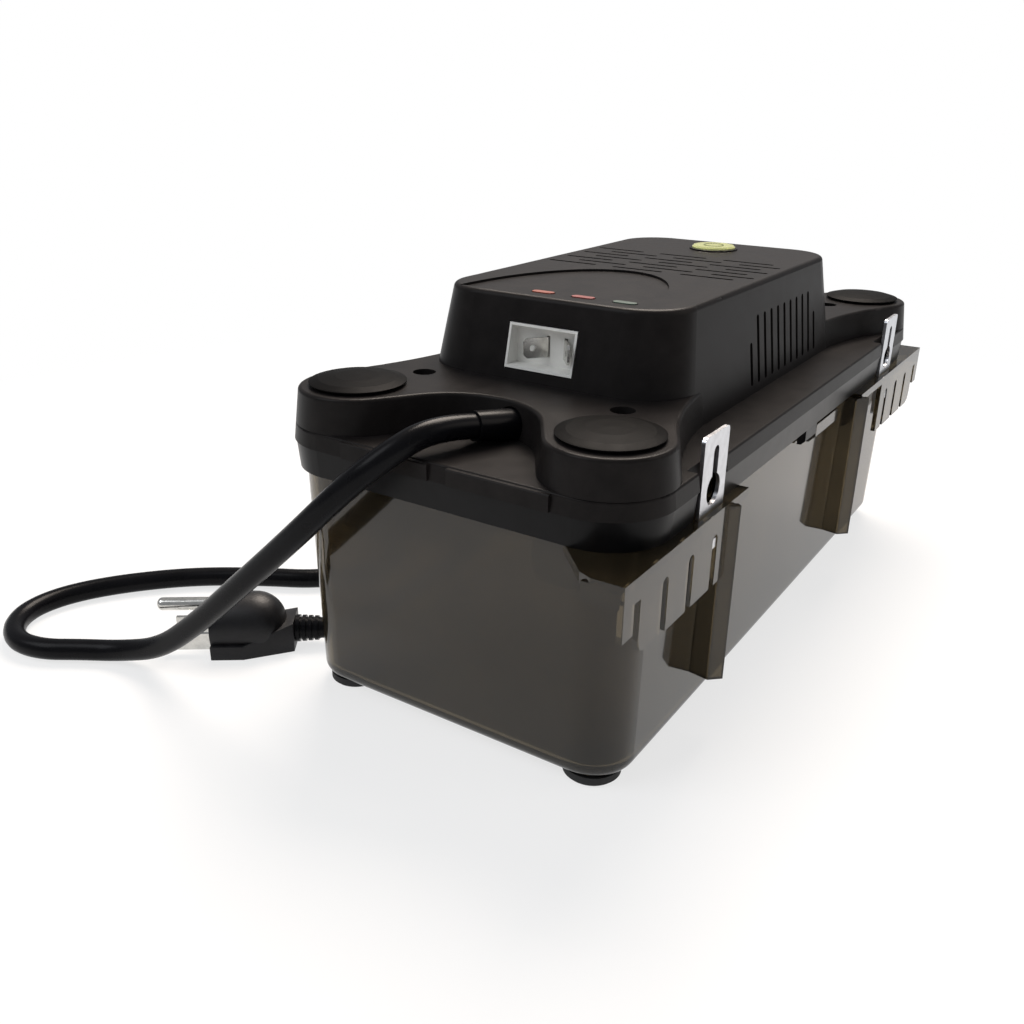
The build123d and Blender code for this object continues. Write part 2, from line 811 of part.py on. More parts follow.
# ------------------------------------------------------------------ caps and hangers
def inlet_cap(sx, sy):
    """Domed push-in cap: its rim stands just clear of the boss."""
    plug_r = inlet_radius - seat_gap
    inner_r = plug_r - cap_plug_wall
    seat_r = inlet_radius + 0.5
    rim_low = deck_z + cap_rim_gap
    rim_top = rim_low + cap_rim
    low = deck_z - cap_plug_length
    cap = turned([
        (0, deck_z), (inner_r, deck_z), (inner_r, low), (plug_r - 0.6, low), (plug_r, low + 1.2),
        (plug_r, deck_z), (seat_r, deck_z), (seat_r, rim_low), (cap_radius - 0.3, rim_low),
        (cap_radius, rim_low + 0.3), (cap_radius, rim_top - 0.2), (cap_radius - 0.6, rim_top),
        (cap_radius * 0.8, rim_top + cap_dome * 0.45), (cap_radius * 0.45, rim_top + cap_dome * 0.85),
        (0, rim_top + cap_dome),
    ])
    return Pos(sx * boss_x, sy * boss_y, 0) * cap


def hanger(sx):
    """Steel keyhole plate that slides in the ear's ledge, with its stop tab in a comb slot."""
    x = sx * hanger_x
    height = hanger_top - hanger_bottom
    middle = (hanger_top + hanger_bottom) / 2
    face = Pos(0, middle) * RectangleRounded(hanger_width, height, hanger_corner)
    face -= Pos(0, keyhole_z) * Circle(keyhole_radius)
    slot = SlotOverall(keyhole_slot_top - keyhole_z, 2 * keyhole_slot_radius)
    face -= Pos(0, (keyhole_z + keyhole_slot_top) / 2) * Rot(0, 0, 90) * slot
    plane = Plane(origin=(x, hanger_outer_y + hanger_thickness, 0), x_dir=(1, 0, 0), z_dir=(0, -1, 0))
    plate = extrude(plane * face, hanger_thickness)
    tab_top = comb_slot_top - seat_gap
    tab = block(
        x - stop_tab_width / 2, x + stop_tab_width / 2,
        hanger_outer_y - skirt_thickness, hanger_outer_y + hanger_thickness / 2,
        tab_top - stop_tab_height, tab_top - comb_slot_width / 4,
    )
    return plate + tab


# ------------------------------------------------------------------ terminal block, lights, level
def terminal_block():
    """White block whose recessed face carries the alarm terminals."""
    front = hood_end_x(window_z, -1)
    back = front + block_recess
    body = window_cut(0, front - 4, back + block_back)
    body &= hood_body(0, seam_z, hood_top)
    body -= window_cut(-block_wall, front - 10, back)
    body += window_cut(2.5, back, back + block_flange)
    half_y = tab_thickness / 2 + tab_slot_gap - 0.1
    half_z = tab_width / 2 + tab_slot_gap
    for y in terminal_ys():
        body -= block(
            back - 1, back + block_back + 1, y - half_y, y + half_y, window_z - half_z, window_z + half_z
        )
    return body


def terminal_ys():
    """Y of the two terminals' roots."""
    return window_y, window_y - tab_spacing


def terminals():
    """Two steel spade terminals, bent outward, each with a hole near its tip."""
    back = hood_end_x(window_z, -1) + block_recess
    group = []
    for y, side in zip(terminal_ys(), (1, -1)):
        half = tab_width / 2
        stem = block(back - 0.8, back + block_back + 3, y - tab_thickness / 2, y + tab_thickness / 2,
                     window_z - half, window_z + half)
        blade = block(-tab_length, 0, -tab_thickness / 2, tab_thickness / 2, -half, half)
        blade = chamfer(blade.edges().filter_by(Axis.Y).group_by(Axis.X)[0], 1.2)
        hole_x = -tab_length + tab_hole_from_tip
        blade -= rod(1.0, (hole_x, -2, 0), (hole_x, 2, 0))
        blade = Pos(back - 0.6, y, window_z) * Rot(0, 0, -side * tab_splay) * blade
        group.append(stem + blade)
    return group


def level_vial():
    """Clear round vial with a hollow for its bubble."""
    top = hood_top + level_proud
    low = top - level_height
    rim = level_radius
    waist = rim - 1.0
    inside = waist - level_wall
    shell = turned([
        (0, low), (waist, low), (waist, hood_top - cover_wall - seat_gap), (rim, hood_top - cover_wall),
        (rim, top - 0.6), (rim - 0.6, top), (0, top),
    ], level_x, 0)
    hollow = turned([
        (0, low + level_wall), (inside, low + level_wall), (inside, top - level_wall - 0.5),
        (0, top - level_wall),
    ], level_x, 0)
    return shell - hollow


def level_bubble():
    """Flat air bubble under the vial's top."""
    top = hood_top + level_proud - level_wall - seat_gap
    return turned([
        (0, top - 1.6), (bubble_radius * 0.8, top - 1.3), (bubble_radius, top - 0.7),
        (bubble_radius * 0.8, top - 0.15), (0, top),
    ], level_x, 0)


# ------------------------------------------------------------------ motor and pump
def stack():
    """Laminated motor frame with the rotor's bore and a window for the winding."""
    x0, x1 = motor_x - stack_length / 2, motor_x + stack_length / 2
    half = stack_width / 2
    low, high = stack_base - 1, stack_base + stack_height + 1
    body = block(x0, x1, -half, half, stack_base, stack_base + stack_height)
    body -= rod(rotor_radius + air_gap, (motor_x, 0, low), (motor_x, 0, high))
    window_x = x1 - winding_edge
    for y0, y1 in ((-winding_high_y, -winding_low_y), (winding_low_y, winding_high_y)):
        body -= block(window_x - winding_room, window_x, y0, y1, low, high)
    for x, y in stack_corners():
        body -= rod(motor_screw_hole, (x, y, low), (x, y, high))
    return body


def winding():
    """Wound coil round the frame's middle limb, beside the rotor."""
    x1 = motor_x + stack_length / 2 - winding_edge - seat_gap
    x0 = x1 - winding_room + 2 * seat_gap
    z0, z1 = stack_base, stack_base + stack_height
    side = winding_high_y - 0.5
    outer = block(x0, x1, -side, side, z0 - winding_overhang, z1 + winding_overhang)
    outer = fillet(outer.edges().filter_by(Axis.X), 3.0)
    return outer - block(x0 - 1, x1 + 1, -winding_low_y, winding_low_y, z0, z1)


def bearing_bridge(z, outward):
    """Die-cast strap across the stack with a bearing boss; outward is +1 above and -1 below."""
    half = stack_width / 2
    x0, x1 = motor_x - stack_length / 2, motor_x + bridge_half
    lo, hi = sorted((z, z + outward * bracket_thickness))
    strap = block(motor_x - bridge_half, x1, -half, half, lo, hi)
    for y0, y1 in ((-half, -half + bridge_half), (half - bridge_half, half)):
        strap += block(x0, x1, y0, y1, lo, hi)
    root, tip = z + outward * 0.5, z + outward * 5.5
    strap += rod(bearing_radius, (motor_x, 0, root), (motor_x, 0, tip))
    for x, y in stack_corners():
        if x < motor_x:
            strap -= rod(motor_screw_hole, (x, y, lo - 1), (x, y, hi + 1))
    strap -= rod(shaft_radius + bearing_gap, (motor_x, 0, z - 10), (motor_x, 0, z + 10))
    strap -= rod(rotor_radius - 3.5, (motor_x, 0, z), (motor_x, 0, root))
    return strap


def rotor():
    """Rotor core on its long shaft."""
    core_low = stack_base + 1.0
    core_high = stack_base + stack_height - 1.0
    shaft_top = stack_base + stack_height + shaft_rise
    body = rod(rotor_radius, (motor_x, 0, core_low), (motor_x, 0, core_high))
    body += rod(shaft_radius, (motor_x, 0, impeller_z - 1.5), (motor_x, 0, shaft_top))
    return body


def fan():
    """Cooling fan pressed on the shaft under the motor."""
    low = seam_z + 1.2
    hub_r = 5.5
    body = tube(hub_r, shaft_radius, (motor_x, 0, low), (motor_x, 0, low + fan_height))
    body += tube(fan_radius - 2.0, shaft_radius, (motor_x, 0, low), (motor_x, 0, low + 0.8))
    blade = block(hub_r - 0.5, fan_radius, -0.5, 0.5, low, low + fan_height)
    for number in range(fan_blades):
        body += Pos(motor_x, 0, 0) * Rot(0, 0, number * 360 / fan_blades) * blade
    return body


impeller_z = volute_bottom + volute_wall + 2.0


def impeller():
    """Open impeller on the shaft's lower end."""
    low = impeller_z
    high = low + impeller_height
    plate = high - impeller_plate
    body = tube(5.0, shaft_radius, (motor_x, 0, low), (motor_x, 0, high))
    body += tube(impeller_radius, shaft_radius, (motor_x, 0, plate), (motor_x, 0, high))
    vane = block(4.0, impeller_radius - 0.5, -0.6, 0.6, low + 0.6, plate + 0.4)
    for number in range(impeller_vanes):
        turn = number * 360 / impeller_vanes
        body += Pos(motor_x, 0, 0) * Rot(0, 0, turn) * Pos(0, shaft_radius, 0) * vane
    return body


def volute():
    """Pump housing hung from the lid by a column, open at its foot for the intake."""
    top = volute_bottom + volute_height
    flange = plate_under - 3.0
    side = pipe_radius + outlet_wall
    room_low, room_high = volute_bottom + volute_wall, top - volute_wall
    bore_z = top - outlet_depth - 2.5

    def upright(radius, z0, z1, x=motor_x):
        return rod(radius, (x, 0, z0), (x, 0, z1))

    body = upright(volute_radius, volute_bottom, top)
    body += upright(column_radius, top, flange)
    body += upright(column_radius + 8.0, flange, plate_under)
    body += block(motor_x, riser_x, -side, side, volute_bottom, top)
    body += upright(side, volute_bottom, top, riser_x)
    body -= upright(volute_radius - volute_wall, room_low, room_high)
    body -= upright(column_radius - column_wall, room_high - 1, plate_under + 1)
    body -= upright(intake_radius, volute_bottom - 1, room_low + 1)
    body -= upright(pipe_radius + seat_gap / 6, top - outlet_depth, top + 1, riser_x)
    body -= upright(pipe_radius - pipe_wall, bore_z - 2.5, top + 1, riser_x)
    body -= rod(pipe_radius - pipe_wall, (motor_x + impeller_radius, 0, bore_z), (riser_x, 0, bore_z))
    hole_z = top + 6.0
    hole_start = column_radius - column_wall - 2
    hole = rod(column_hole_radius, (hole_start, 0, hole_z), (column_radius + 2, 0, hole_z))
    for number in range(column_holes):
        body -= Pos(motor_x, 0, 0) * Rot(0, 0, (number + 0.5) * 360 / column_holes) * hole
    return body


def strainer():
    """Slotted ring under the pump's intake, standing just above the tank's floor."""
    low = foot_height + tank_floor + strainer_clear
    top = volute_bottom
    body = tube(intake_radius + 5.0, intake_radius + 3.0, (motor_x, 0, low), (motor_x, 0, top))
    half = strainer_slot_width / 2
    gap = block(intake_radius, intake_radius + 8, -half, half, low - 1, top - half)
    for number in range(strainer_slots):
        body -= Pos(motor_x, 0, 0) * Rot(0, 0, number * 360 / strainer_slots) * gap
    return body


def discharge_pipe():
    """Pipe from the pump up through the lid and along to the check valve."""
    top = volute_bottom + volute_height
    start = (riser_x, 0, top - outlet_depth)
    bend = (riser_x, 0, valve_z)
    end = (valve_start, 0, valve_z)
    path = FilletPolyline(start, bend, end, radius=3 * pipe_radius)
    ring = Plane(origin=start, z_dir=(0, 0, 1)) * (Circle(pipe_radius) - Circle(pipe_radius - pipe_wall))
    return sweep(ring, path=path)


def check_valve():
    """Valve barrel in the end recess with a barbed hose tail."""
    x0 = valve_start
    x1 = recess_depth_x + valve_length
    tail_end = x1 + barb_length
    stem = barb_radius - barb_step
    throat = pipe_radius - pipe_wall - barb_step
    chamber = valve_ball_radius + seat_gap
    points = [(x0, pipe_radius), (x0, valve_radius), (x1, valve_radius)]
    for ridge in range(barb_count):
        start = tail_end - (barb_count - ridge) * barb_pitch
        points += [(start, stem), (start, barb_radius), (start + barb_land, barb_radius)]
    points += [(tail_end, stem), (tail_end, barb_bore), (x1 - valve_seat, barb_bore)]
    points += [(x1 - 2 * valve_seat, chamber), (valve_chamber_start, chamber)]
    points += [(valve_chamber_start - valve_seat, throat), (x0, throat)]
    face = make_face(Plane.XY * Polyline(*points, close=True))
    return Pos(0, 0, valve_z) * revolve(face, Axis.X)


def valve_ball():
    """Ball that closes the valve against back flow."""
    return Pos(valve_chamber_start + valve_ball_radius + 0.4, 0, valve_z) * Sphere(valve_ball_radius)


# ------------------------------------------------------------------ float and switch
float_hinge = Vector(float_hinge_x, float_y, float_hinge_z)
float_arm_dir = Vector(-cos(radians(float_arm_drop)), 0, -sin(radians(float_arm_drop)))
pad_dir = Vector(-cos(radians(float_travel / 2)), 0, -sin(radians(float_travel / 2)))


def across_y(radius, middle, half):
    """Round bar along Y, the same length each way from its middle."""
    return rod(radius, middle - Vector(0, half, 0), middle + Vector(0, half, 0))


def float_bracket():
    """Two cheeks under the lid that carry the float's pin."""
    outer = float_cheek_gap + float_cheek
    x, y, z = float_hinge
    body = block(x - 5, x + 9, y - outer, y + outer, plate_under - 2.0, plate_under)
    for y0, y1 in ((y - outer, y - float_cheek_gap), (y + float_cheek_gap, y + outer)):
        body += block(x - 4, x + 5, y0, y1, z - 4, plate_under)
    body -= block(x - 20, x - 3.5, y - float_cheek_gap, y + float_cheek_gap, plate_under - 3, plate_under + 1)
    return body - across_y(pin_radius, float_hinge, outer + 1)


def float_pin():
    """Steel pin of the float's hinge."""
    return across_y(pin_radius, float_hinge, float_cheek_gap + float_cheek + 0.6)


def float_arm():
    """Wire arm with a hub on the pin and the pad that lifts the push rod."""
    hub_r = 3.4
    pad_at = float_hinge + pad_dir * pad_reach
    body = across_y(hub_r, float_hinge, hub_r)
    start = float_hinge + float_arm_dir * 2.6
    body += rod(float_arm_radius, start, float_hinge + float_arm_dir * float_arm_length)
    body += across_y(pad_radius, pad_at, 2.5)
    body += rod(1.6, float_hinge + pad_dir * 2.6, pad_at)
    return body - across_y(pin_radius + bearing_gap, float_hinge, 2 * hub_r)


def float_body():
    """Foam float on the arm's end."""
    barrel = across_y(float_radius, float_hinge + float_arm_dir * (float_arm_length + 4), float_width / 2)
    barrel = chamfer(barrel.edges().filter_by(GeomType.CIRCLE), 1.5)
    hole_start = float_hinge + float_arm_dir * (float_arm_length - float_grip)
    return barrel - rod(float_arm_radius, hole_start, hole_start + float_arm_dir * float_grip)


pushrod_foot_z = float_hinge_z - pad_reach * sin(radians(float_travel / 2)) + pad_radius + seat_gap
pushrod_lift = 2 * pad_reach * sin(radians(float_travel / 2))
leaf_tilt = degrees(atan(pushrod_lift / leaf_reach))
leaf_pivot_x = pushrod_x + leaf_reach
leaf_pivot_z = seam_z + leaf_height
leaf_pivot = Vector(leaf_pivot_x, float_y, leaf_pivot_z)
pushrod_clear = (pushrod_radius + leaf_thickness) * pushrod_lift / leaf_reach
pushrod_top = leaf_pivot_z - pushrod_lift - leaf_thickness / 2 - seat_gap - pushrod_clear


def pushrod():
    """Rod that carries the float's movement through the lid to the switch."""
    foot = (pushrod_x, float_y, pushrod_foot_z)
    body = rod(pushrod_foot_radius, foot, (pushrod_x, float_y, pushrod_foot_z + 1.2))
    return body + rod(pushrod_radius, foot, (pushrod_x, float_y, pushrod_top))


def switch_box():
    """Ends and heights of the switch's body."""
    x1 = leaf_pivot_x + 2.0
    z0 = leaf_pivot_z + leaf_drop
    return x1 - switch_length, x1, z0, z0 + switch_height


def switch_body():
    """Snap switch with two ears for its leaf."""
    x0, x1, z0, z1 = switch_box()
    half = switch_width / 2
    ear_half = leaf_drop
    body = block(x0, x1, float_y - half, float_y + half, z0, z1)
    for side in (-1, 1):
        y0, y1 = sorted((float_y + side * (leaf_width / 2 + 0.25), float_y + side * half))
        body += block(
            leaf_pivot_x - ear_half, leaf_pivot_x + ear_half, y0, y1, leaf_pivot_z - ear_half, z0 + 0.5
        )
    return body - across_y(leaf_pin_radius, leaf_pivot, switch_width)


def switch_leaf():
    """Spring leaf that the push rod lifts, with its hinge tube."""
    half = leaf_width / 2
    leaf = block(-leaf_length, 0, -half, half, -leaf_thickness / 2, leaf_thickness / 2)
    knuckle = rod(leaf_knuckle_radius, (0, -half, 0), (0, half, 0))
    body = Pos(*leaf_pivot) * Rot(0, -leaf_tilt, 0) * (leaf + knuckle)
    return body - across_y(leaf_pin_radius + bearing_gap, leaf_pivot, leaf_width)


def leaf_pin():
    """Wire pin of the leaf's hinge."""
    return across_y(leaf_pin_radius, leaf_pivot, switch_width / 2)


def switch_wall():
    """Upright on the lid that the switch is fastened to."""
    x0, x1, z0, z1 = switch_box()
    y0 = float_y + switch_width / 2
    return block(x0, x1, y0, y0 + 2.5, seam_z, z1)


# ------------------------------------------------------------------ electronics
def board():
    """Circuit board with its relay, capacitor and three lamps under the lights."""
    top = board_z + board_thickness
    body = block(board_x_low, board_x_high, -board_half_width, board_half_width, board_z, top)
    relay_x = board_x_high - board_edge
    body += block(relay_x - relay_length, relay_x, relay_y, relay_y + relay_width, top, top + relay_height)
    supply_x = relay_x + 1
    low_y = -supply_y - supply_width
    body += block(supply_x - supply_length, supply_x, low_y, -supply_y, top, top + supply_height)
    x = board_x_low + capacitor_inset
    body += rod(capacitor_radius, (x, capacitor_y, top), (x, capacitor_y, top + capacitor_height))
    return body


def lights():
    """Three lenses that stand on the hood's inner face and show in the panel."""
    shapes = []
    for number in range(light_count):
        lens = light_solid(number, 0, hood_top - cover_wall, hood_top - panel_depth + 0.25)
        x, y = light_place(number)
        flange = Pos(x, y, hood_top - cover_wall - 1.4) * extrude(
            Rot(0, 0, 90) * SlotOverall(light_length + 3, light_width + 3), 1.4)
        shapes.append(lens + flange)
    return shapes


# ------------------------------------------------------------------ fasteners
def cover_screws():
    """Four pan-head screws that hold the cover to the lid."""
    group = []
    for sx, sy in corners():
        x, y = sx * cover_screw_x, sy * cover_screw_y
        head_low = deck_z - screw_sink
        head = rod(cover_screw_radius + screw_head_step, (x, y, head_low), (x, y, head_low + 1.8))
        end = plate_under - cover_screw_end
        group.append(head + rod(cover_screw_radius - screw_thread_step, (x, y, end), (x, y, head_low)))
    return group


def motor_screws():
    """Four long screws through the motor's stack into the lid's posts."""
    group = []
    for x, y in stack_corners():
        seat = stack_base + stack_height
        if x < motor_x:
            seat += bracket_thickness
        head = rod(motor_screw_head, (x, y, seat), (x, y, seat + 2.0))
        group.append(head + rod(motor_screw_radius, (x, y, seam_z + 1), (x, y, seat)))
    return group


# ------------------------------------------------------------------ cord and plug
floor_cord = cord_radius
# The plug lies on its flat side, its tail toward the tank's wall.
plug_face = Vector(plug_inset - ear_half_length, ear_half_width + plug_aside, plug_axis_height)
plug_tail_dir = Vector(0.591, -0.806, 0).normalized()
relief_tip = plug_face + plug_tail_dir * (plug_length + relief_length)

# The cord's route from the gland, over the recess's step, down to the floor, round a
# loose loop beside the tank and behind it to the coil.
coil_x, coil_y = 20.0, 124.0
coil_outer_turn = coil_mean_radius + 2 * cord_radius
cord_route = [
    tuple(gland_tip),
    tuple(gland_tip + gland_dir * 14.0),
    (-147.0, 10.5, 96.0),
    (-154.5, 21.5, 85.0),
    (-158.0, 38.0, 68.0),
    (-160.0, 60.5, 47.0),
    (-161.0, 84.0, 25.5),
    (-162.5, 104.0, 9.6),
    (-166.0, 123.0, floor_cord),
    (-173.5, 135.5, floor_cord),
    (-181.0, 146.5, floor_cord),
    (-183.0, 159.5, floor_cord),
    (-176.5, 171.5, floor_cord),
    (-164.5, 178.0, floor_cord),
    (-148.5, 176.0, floor_cord),
    (-130.0, 165.0, floor_cord),
    (-110.5, 147.0, floor_cord),
    (-95.5, 124.5, floor_cord),
    (-85.0, 105.0, floor_cord),
    (-69.5, 93.5, floor_cord),
    (-50.5, 91.5, floor_cord),
    (-35.0, 103.5, floor_cord),
    (coil_x - coil_outer_turn, coil_y, floor_cord),
]
# The other end of the cord, from the coil's upper turn along the wall to the plug.
coil_upper = 3 * cord_radius
lead_route = [
    (coil_x, coil_y - coil_outer_turn, coil_upper),
    (1.0, 73.4, 10.2),
    (-18.0, 71.9, 6.6),
    (-38.0, 70.0, 4.1),
    (-60.0, 68.3, 3.9),
    (-79.0, 67.0, 4.1),
    (-95.0, 66.2, 4.9),
    (-106.6, 66.1, 5.8),
    (-110.4, 67.3, plug_axis_height),
    tuple(relief_tip + plug_tail_dir * 4.0),
    tuple(relief_tip),
]


def bend_radii(route):
    """Largest bend at each point of a route: 0.45 of its shorter run over tan of half its turn."""
    points = [Vector(*p) for p in route]
    radii = []
    for before, here, after in zip(points, points[1:], points[2:]):
        first, second = here - before, after - here
        half_turn = radians(first.get_angle(second)) / 2
        radii.append(0.45 * min(first.length, second.length) / tan(half_turn))
    return radii


def cord(name, route):
    """Plain round cord along a route of runs joined by arcs."""
    radii = bend_radii(route)
    path = FilletPolyline(*[Vector(*p) for p in route], radius=radii)
    start_dir = Vector(*route[1]) - Vector(*route[0])
    ring = Plane(origin=route[0], z_dir=start_dir) * Circle(cord_radius)
    solid = sweep(ring, path=path)
    expected = path.length * pi * cord_radius ** 2
    print(f"{name} length {path.length:.1f} volume ratio {solid.volume / expected:.4f}")
    print("  radii", [round(r, 1) for r in radii])
    return solid


def cord_coil():
    """Outer shape of the spare cord's neat coil."""
    outer = coil_mean_radius + coil_turns_across * cord_radius
    inner = coil_mean_radius - coil_turns_across * cord_radius
    height = coil_layers * 2 * cord_radius
    return tube(outer, inner, (coil_x, coil_y, 0), (coil_x, coil_y, height))


def gland():
    """Tapered strain relief where the cord leaves the cover."""
    plane = Plane(origin=gland_root - gland_dir * gland_inside, z_dir=gland_dir)
    tip = plane.offset(gland_length + gland_inside)
    sleeve = loft([plane * Circle(gland_radius_root), tip * Circle(gland_radius_tip)])
    return sleeve + extrude(plane * Circle(gland_radius_root + 1.2), -gland_flange)


def plug_plane(along):
    """Plane across the plug, looking out of its face; along is measured back from the face."""
    origin = plug_face + plug_tail_dir * along
    return Plane(origin=origin, x_dir=Vector(0, 0, 1).cross(plug_tail_dir * -1), z_dir=plug_tail_dir * -1)


def plug_up(height):
    """Place on a plug plane at a height above the floor."""
    return Pos(0, height - plug_axis_height)


def plug_body():
    """Moulded plug: a tapered foot, a rounded grip over it and a shoulder down to the cord."""
    half, tail = plug_base_width / 2, plug_tail_width / 2
    waist = plug_length * 0.4
    foot = make_face(Polyline(
        (half, 0), (half, waist), (tail, plug_length), (-tail, plug_length), (-half, waist), (-half, 0),
        close=True,
    ))
    floor = Plane(origin=(plug_face.X, plug_face.Y, 0), x_dir=plug_plane(0).x_dir, z_dir=(0, 0, 1))
    body = extrude(floor * foot, plug_base_height)
    grip = plug_up(plug_height / 2) * RectangleRounded(plug_width, plug_height, 2.0)
    crown = plug_up(plug_height - plug_width / 2) * Circle(plug_width / 2)
    section = grip & (crown + plug_up(0) * Rectangle(plug_width, 2 * plug_height - plug_width))
    reach = plug_length * 0.55
    body += extrude(plug_plane(0) * section, -reach)
    shoulder_front = plug_up(plug_height * 0.47) * RectangleRounded(plug_width - 2, plug_height * 0.94, 7.0)
    shoulder_back = plug_up(plug_tail_height / 2) * RectangleRounded(plug_tail_width, plug_tail_height, 4.5)
    body += loft([plug_plane(reach - 1) * shoulder_front, plug_plane(plug_length) * shoulder_back])
    return body


def plug_blades():
    """Two flat blades, each with a round hole."""
    group = []
    across = plug_plane(0).x_dir
    for side in (-1, 1):
        place = Pos(side * plug_blade_spacing / 2, plug_blade_height - plug_axis_height)
        blade = extrude(plug_plane(0) * place * Rectangle(blade_thickness, blade_width), blade_length)
        hole = Vector(plug_face.X, plug_face.Y, plug_blade_height) - plug_tail_dir * blade_hole_at
        blade -= rod(blade_hole_radius, hole - across * plug_width, hole + across * plug_width)
        group.append(blade)
    return group


def ground_pin():
    """Round earth pin with a domed end."""
    base = plug_plane(0) * Pos(0, plug_blade_height + plug_pin_rise - plug_axis_height)
    pin = extrude(base * Circle(ground_pin_radius), ground_pin_length)
    tip = pin.edges().filter_by(GeomType.CIRCLE).sort_by_distance(plug_face)[-1]
    return fillet(tip, ground_pin_radius * 0.8)


def plug_relief():
    """Ribbed strain relief behind the plug."""
    pitch = relief_length / relief_ribs
    body = extrude(plug_plane(plug_length) * Circle(relief_radius - 1.0), -relief_length)
    for number in range(relief_ribs):
        at = plug_plane(plug_length + number * pitch + 0.3)
        body += extrude(at * Circle(relief_radius - 0.15 * number), -(pitch - 0.9))
    return body


# ------------------------------------------------------------------ write every sub-part
save("tank", tank())
save("rubber_feet", Compound(children=feet()))
save("lid_band", lid_band())
save("lid", lid())
save("motor_cover", cover())
for number, (sx, sy) in enumerate(corners(), 1):
    save(f"inlet_cap_{number}", inlet_cap(sx, sy))
save("hanger_plate_near", hanger(-1))
save("hanger_plate_far", hanger(1))
save("terminal_block", terminal_block())
save("spade_terminals", Compound(children=terminals()))
for name, lens in zip(("amber_light", "red_light", "green_light"), lights()):
    save(name, lens)
save("level_vial", level_vial())
save("level_bubble", level_bubble())
save("motor_stack", stack())
save("motor_winding", winding())
save("upper_bearing_bridge", bearing_bridge(stack_base + stack_height, 1))
save("lower_bearing_bridge", bearing_bridge(stack_base, -1))
save("rotor_shaft", rotor())
save("cooling_fan", fan())
save("impeller", impeller())
save("pump_housing", volute())
save("intake_strainer", strainer())
save("discharge_pipe", discharge_pipe())
save("check_valve", check_valve())
save("valve_ball", valve_ball())
save("float_bracket", float_bracket())
save("float_pin", float_pin())
save("float_arm", float_arm())
save("float_body", float_body())
save("switch_pushrod", pushrod())
save("float_switch", switch_body())
save("switch_leaf", switch_leaf())
save("leaf_pin", leaf_pin())
save("circuit_board", board())
save("cover_screws", Compound(children=cover_screws()))
save("motor_screws", Compound(children=motor_screws()))
save("cord_gland", gland())
save("power_cord", cord("power_cord", cord_route))
save("cord_coil", cord_coil())
save("plug_lead", cord("plug_lead", lead_route))
save("plug_body", plug_body())
save("plug_blades", Compound(children=plug_blades()))
save("plug_ground_pin", ground_pin())
save("plug_strain_relief", plug_relief())
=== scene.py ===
# %% [markdown]
# # Dressing a condensate pump
# A condensate pump collects the water that drips from an air conditioner and pushes it up
# a thin hose.  This lesson takes the finished solids of the pump and gives them a camera,
# a real cord, believable plastics and metals, and soft studio light.
# Every length is in metres, and +Z is up.

# %% Load the pump
import math

import bpy
from mathutils import Matrix, Vector


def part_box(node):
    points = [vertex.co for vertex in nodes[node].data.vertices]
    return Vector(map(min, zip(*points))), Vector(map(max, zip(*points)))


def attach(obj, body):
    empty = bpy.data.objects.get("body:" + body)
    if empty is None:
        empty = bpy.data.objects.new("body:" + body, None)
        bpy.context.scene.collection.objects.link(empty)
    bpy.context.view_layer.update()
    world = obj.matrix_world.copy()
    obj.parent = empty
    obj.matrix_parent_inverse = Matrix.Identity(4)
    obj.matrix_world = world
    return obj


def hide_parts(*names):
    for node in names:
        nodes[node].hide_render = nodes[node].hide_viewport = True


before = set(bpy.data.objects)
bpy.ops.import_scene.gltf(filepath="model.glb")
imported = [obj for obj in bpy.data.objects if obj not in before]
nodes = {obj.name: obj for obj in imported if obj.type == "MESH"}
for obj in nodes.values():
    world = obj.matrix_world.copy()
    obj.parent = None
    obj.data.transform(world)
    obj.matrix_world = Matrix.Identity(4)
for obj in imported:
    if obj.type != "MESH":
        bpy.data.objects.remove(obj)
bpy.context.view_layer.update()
bpy.ops.object.select_all(action="DESELECT")

# %% [markdown]
# ## The camera
# The pump is seen from one end and a little from above, close up, so the near end looks
# larger than the far one.  A camera that stands close with a normal lens gives that look.
# Its three axes are worked out from a heading, a tilt and a slight roll.

# %% Place the camera
heading, tilt, roll = 0.579, -0.401, 0.013
look = Vector((math.cos(heading) * math.cos(tilt), math.sin(heading) * math.cos(tilt), math.sin(tilt)))
right = Vector((math.sin(heading), -math.cos(heading), 0.0))
up = right.cross(look)
rolled_right = right * math.cos(roll) + up * math.sin(roll)
rolled_up = up * math.cos(roll) - right * math.sin(roll)
turn = Matrix((rolled_right, rolled_up, -look)).transposed()

bpy.ops.object.camera_add()
camera = bpy.context.active_object
camera.name = "camera"
camera.matrix_world = Matrix.Translation((-0.3462, -0.1614, 0.1896)) @ turn.to_4x4()
camera.data.sensor_width = 36.0
camera.data.lens = 34.885
camera.data.clip_start = 0.01
bpy.context.scene.camera = camera
print("camera at", tuple(camera.location))

# %% [markdown]
# ## The power cord
# The cord is about 1.8 m of three-core vinyl flex, 7.7 mm thick.  It leaves the cover,
# drops over the tank's edge, makes a loose loop on the floor, and goes behind the tank to
# a neat coil; the plug is on its other end.  One smooth spline carries it all, because a
# real cord has no corners: the points below are only where it is led.

